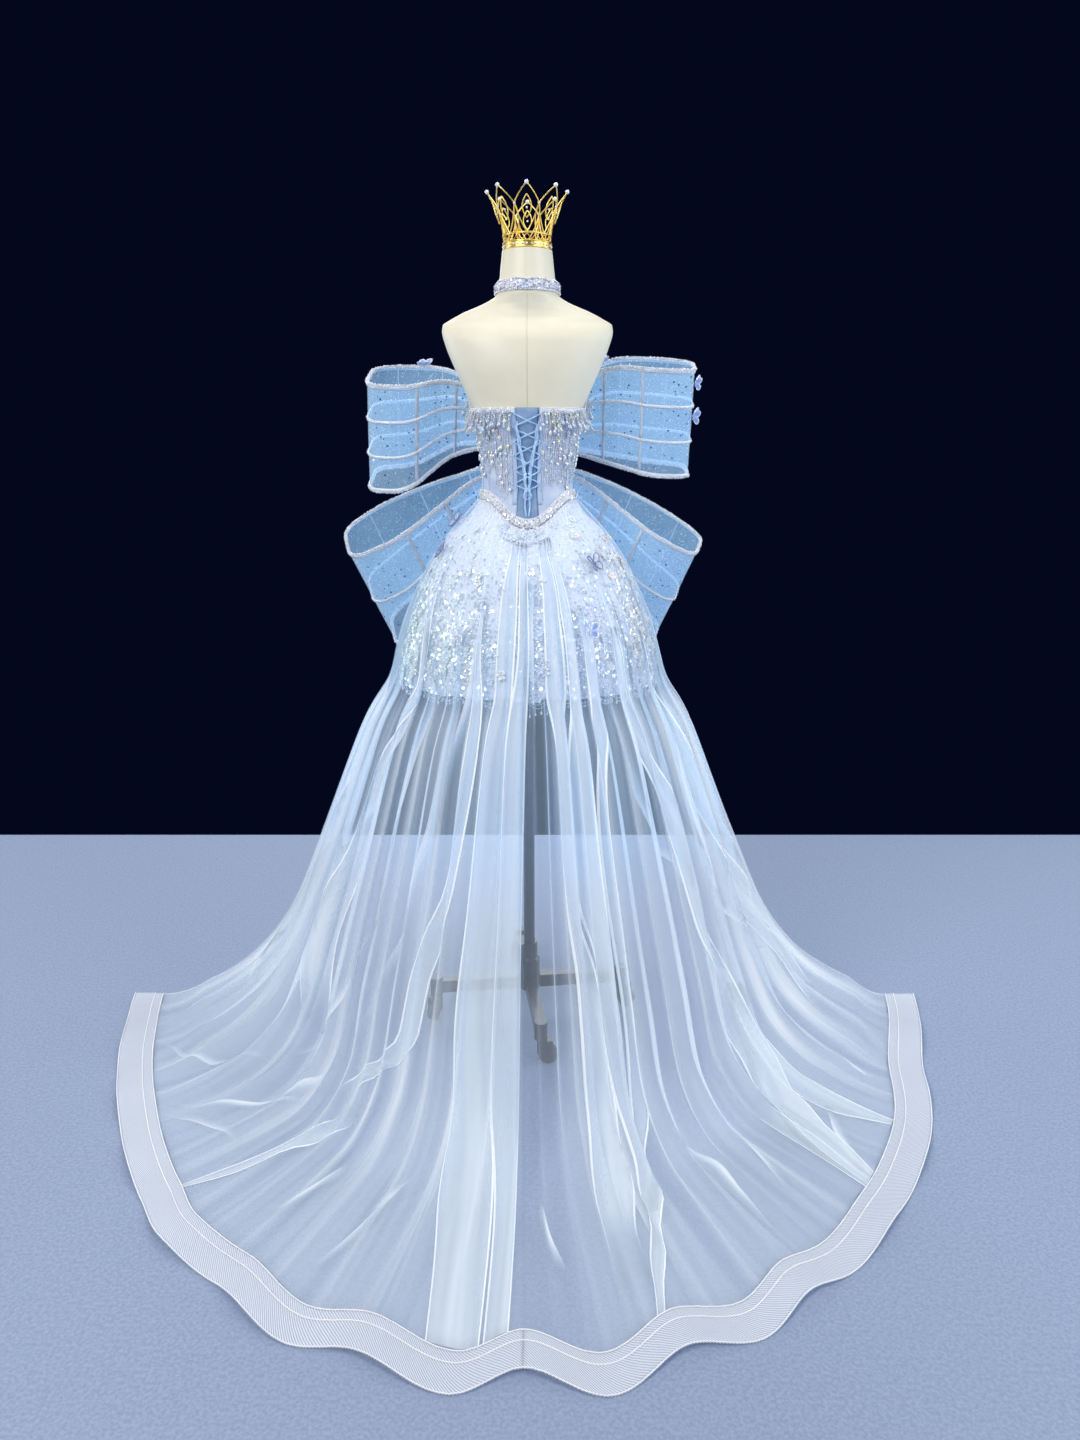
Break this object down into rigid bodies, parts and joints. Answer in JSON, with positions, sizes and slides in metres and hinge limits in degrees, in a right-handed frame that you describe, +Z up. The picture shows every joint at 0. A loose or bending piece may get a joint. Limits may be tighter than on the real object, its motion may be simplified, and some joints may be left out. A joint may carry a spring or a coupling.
{
  "type": "mini prom dress with train on a dress form and rolling stand",
  "caption": "Strapless corset mini dress with a sheer trailing overskirt and a large boned bow, worn by a limbless dress form with a crown finial on a rolling stand",
  "frame": {"origin": "centre of the bounding box on the floor, where the wheels and the hem rest", "axes": "+X is the wearer's left, +Y is behind the wearer, where the train trails, and +Z is up"},
  "size_m": [2.0432, 1.431, 1.9133],
  "materials": {
    "form_cream": "smooth cream dress form with a fine centre seam",
    "finial_gold": "polished gold wire with small pearls",
    "stand_black": "satin black paint",
    "wheel_black": "matt black",
    "bodice_beaded": "pale blue satin under vertical silver bead strings",
    "panel_grey_blue": "matt grey-blue cloth",
    "lacing_satin": "light blue satin cord",
    "lace_sequined": "lilac-white lace with iridescent sequins and beads",
    "tulle_white": "sheer cool white tulle in gathered layers",
    "braid_white": "wide stiff white hem braid",
    "organza_sky_blue": "crisp sheer sky-blue organza with scattered sequins",
    "tape_silver_white": "glittering silver-white boning tape",
    "crystal_strings": "clear and silver-lined glass beads",
    "butterfly_blue": "iridescent periwinkle organza with silver edges",
    "butterfly_white": "iridescent white organza with silver edges"
  },
  "bodies": {
    "root": {"form_torso": "form_cream", "form_finial": "finial_gold", "stand_pole": "stand_black", "stand_hub": "stand_black", "stand_leg_1": "stand_black", "stand_leg_2": "stand_black", "stand_leg_3": "stand_black", "stand_leg_4": "stand_black", "bodice_front_right": "bodice_beaded", "bodice_front_centre": "bodice_beaded", "bodice_front_left": "bodice_beaded", "bodice_side_left": "bodice_beaded", "bodice_back_left": "bodice_beaded", "bodice_back_right": "bodice_beaded", "bodice_side_right": "bodice_beaded", "modesty_panel": "panel_grey_blue", "back_lacing": "lacing_satin", "lace_tail_left": "lacing_satin", "lace_tail_right": "lacing_satin", "bodice_fringe": "crystal_strings", "skirt_front": "lace_sequined", "skirt_back": "lace_sequined", "waistband_front": "lace_sequined", "waistband_back": "lace_sequined", "train_left_side": "tulle_white", "train_left_back": "tulle_white", "train_right_back": "tulle_white", "train_right_side": "tulle_white", "hem_braid_left": "braid_white", "hem_braid_right": "braid_white", "bow_loop_upper_left": "organza_sky_blue", "bow_loop_upper_right": "organza_sky_blue", "bow_loop_lower_left": "organza_sky_blue", "bow_loop_lower_right": "organza_sky_blue", "bow_tapes_upper_left": "tape_silver_white", "bow_tapes_upper_right": "tape_silver_white", "bow_tapes_lower_left": "tape_silver_white", "bow_tapes_lower_right": "tape_silver_white", "bow_knot": "organza_sky_blue", "bow_butterfly_1": "butterfly_blue", "bow_butterfly_2": "butterfly_blue", "bow_butterfly_3": "butterfly_blue", "bow_butterfly_4": "butterfly_blue", "train_butterfly_1": "butterfly_blue", "train_butterfly_2": "butterfly_blue", "train_butterfly_3": "butterfly_white", "train_butterfly_4": "butterfly_blue", "train_butterfly_5": "butterfly_blue", "choker": "lace_sequined"},
    "fork_1": {"caster_fork_1": "stand_black"},
    "fork_2": {"caster_fork_2": "stand_black"},
    "fork_3": {"caster_fork_3": "stand_black"},
    "fork_4": {"caster_fork_4": "stand_black"},
    "wheel_1": {"caster_wheel_1": "wheel_black"},
    "wheel_2": {"caster_wheel_2": "wheel_black"},
    "wheel_3": {"caster_wheel_3": "wheel_black"},
    "wheel_4": {"caster_wheel_4": "wheel_black"}
  },
  "joints": [
    {"name": "swivel_1", "type": "hinge", "parent": "root", "child": "fork_1", "pos_m": [0.22034, -0.35484, 0.07], "axis": [0, 0, 1], "continuous": true},
    {"name": "swivel_2", "type": "hinge", "parent": "root", "child": "fork_2", "pos_m": [-0.04266, -0.14936, 0.07], "axis": [0, 0, 1], "continuous": true},
    {"name": "swivel_3", "type": "hinge", "parent": "root", "child": "fork_3", "pos_m": [-0.24814, -0.41236, 0.07], "axis": [0, 0, 1], "continuous": true},
    {"name": "swivel_4", "type": "hinge", "parent": "root", "child": "fork_4", "pos_m": [0.01486, -0.61784, 0.07], "axis": [0, 0, 1], "continuous": true},
    {"name": "roll_1", "type": "hinge", "parent": "fork_1", "child": "wheel_1", "pos_m": [0.2265, -0.33792, 0.02167], "axis": [-0.9397, 0.342, 0], "continuous": true},
    {"name": "roll_2", "type": "hinge", "parent": "fork_2", "child": "wheel_2", "pos_m": [-0.06049, -0.15186, 0.02167], "axis": [0.1392, -0.9903, 0], "continuous": true},
    {"name": "roll_3", "type": "hinge", "parent": "fork_3", "child": "wheel_3", "pos_m": [-0.26373, -0.40336, 0.02167], "axis": [-0.5, -0.866, 0], "continuous": true},
    {"name": "roll_4", "type": "hinge", "parent": "fork_4", "child": "wheel_4", "pos_m": [0.02386, -0.63343, 0.02167], "axis": [0.866, 0.5, 0], "continuous": true}
  ]
}
